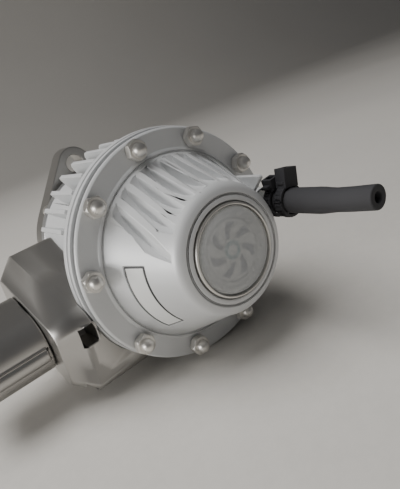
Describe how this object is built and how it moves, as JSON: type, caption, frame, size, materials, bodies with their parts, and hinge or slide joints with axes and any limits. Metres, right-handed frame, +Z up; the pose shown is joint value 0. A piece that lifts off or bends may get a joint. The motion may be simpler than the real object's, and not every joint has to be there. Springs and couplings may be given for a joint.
{
  "type": "blow-off valve",
  "caption": "Sequential turbo blow-off valve with finned round housing, conical vacuum cover, side outlet pipe, rear inlet neck in a two-bolt flange, and a short vacuum hose.",
  "frame": {"origin": "bottom centre of the whole object's box, on the surface it lies on", "axes": "+Y runs along the main axis from the badge to the rear inlet, +X to the hose side, away from the outlet pipe, +Z up"},
  "size_m": [0.1328, 0.15, 0.0896],
  "materials": {
    "silver_paint": "satin metallic silver with a fine grain",
    "raw_casting": "raw cast, slightly rough and darker",
    "machined_aluminium": "turned, fine lines",
    "polished_steel": "bright polished",
    "dark_steel": "oiled spring steel",
    "bronze": "turned bronze",
    "plated_brass": "dull nickel plate",
    "black_rubber": "matte black",
    "black_nylon": "satin black",
    "seat_polymer": "smooth off-white",
    "clear_resin": "clear domed resin",
    "silver_label": "blank silver film"
  },
  "bodies": {
    "housing": {"front_cover": "silver_paint", "rear_housing": "silver_paint", "side_block": "silver_paint", "housing_fins_1": "silver_paint", "housing_fins_2": "silver_paint", "housing_fins_3": "silver_paint", "housing_fins_4": "silver_paint", "mounting_flange": "raw_casting", "outlet_pipe": "raw_casting", "badge_plate": "machined_aluminium", "inlet_cap": "machined_aluminium", "badge_bezel": "polished_steel", "cap_nut_1": "polished_steel", "cap_nut_2": "polished_steel", "cap_nut_3": "polished_steel", "cap_nut_4": "polished_steel", "cap_nut_5": "polished_steel", "cap_nut_6": "polished_steel", "cap_nut_7": "polished_steel", "cap_nut_8": "polished_steel", "cap_nut_9": "polished_steel", "cap_nut_10": "polished_steel", "flange_bolt_1": "polished_steel", "flange_bolt_2": "polished_steel", "flange_bolt_3": "polished_steel", "flange_bolt_4": "polished_steel", "flange_bolt_5": "polished_steel", "flange_bolt_6": "polished_steel", "flange_bolt_7": "polished_steel", "flange_bolt_8": "polished_steel", "flange_bolt_9": "polished_steel", "flange_bolt_10": "polished_steel", "inlet_screw_1": "polished_steel", "inlet_screw_2": "polished_steel", "inlet_screw_3": "polished_steel", "inlet_screw_4": "polished_steel", "return_spring": "dark_steel", "main_spring": "dark_steel", "retaining_ring": "dark_steel", "outlet_grub_screw": "dark_steel", "rod_bush": "bronze", "vacuum_nipple": "plated_brass", "vacuum_hose": "black_rubber", "diaphragm": "black_rubber", "rod_seal": "black_rubber", "inlet_cap_seal": "black_rubber", "flange_seal": "black_rubber", "outlet_seal": "black_rubber", "cable_tie_rear": "black_nylon", "cable_tie_front": "black_nylon", "badge_lens": "clear_resin", "label_plate": "silver_label"},
    "main_valve": {"main_valve": "machined_aluminium", "valve_seal": "seat_polymer"},
    "actuator": {"front_diaphragm_plate": "machined_aluminium", "rear_diaphragm_plate": "machined_aluminium", "rod_lock_nut": "polished_steel", "valve_rod": "polished_steel", "pilot_valve": "bronze", "pickup_nut": "polished_steel"}
  },
  "joints": [
    {"name": "main_valve_slide", "type": "slide", "parent": "housing", "child": "main_valve", "axis": [0, -1, 0], "range_m": [0, 0.006], "stiffness_N_per_m": 2000, "springref_m": -0.009, "deforming": ["main_spring", "return_spring", "diaphragm"]},
    {"name": "rod_slide", "type": "slide", "parent": "main_valve", "child": "actuator", "axis": [0, -1, 0], "range_m": [0, 0.002], "stiffness_N_per_m": 1500, "springref_m": -0.008, "deforming": ["return_spring", "diaphragm"]}
  ]
}
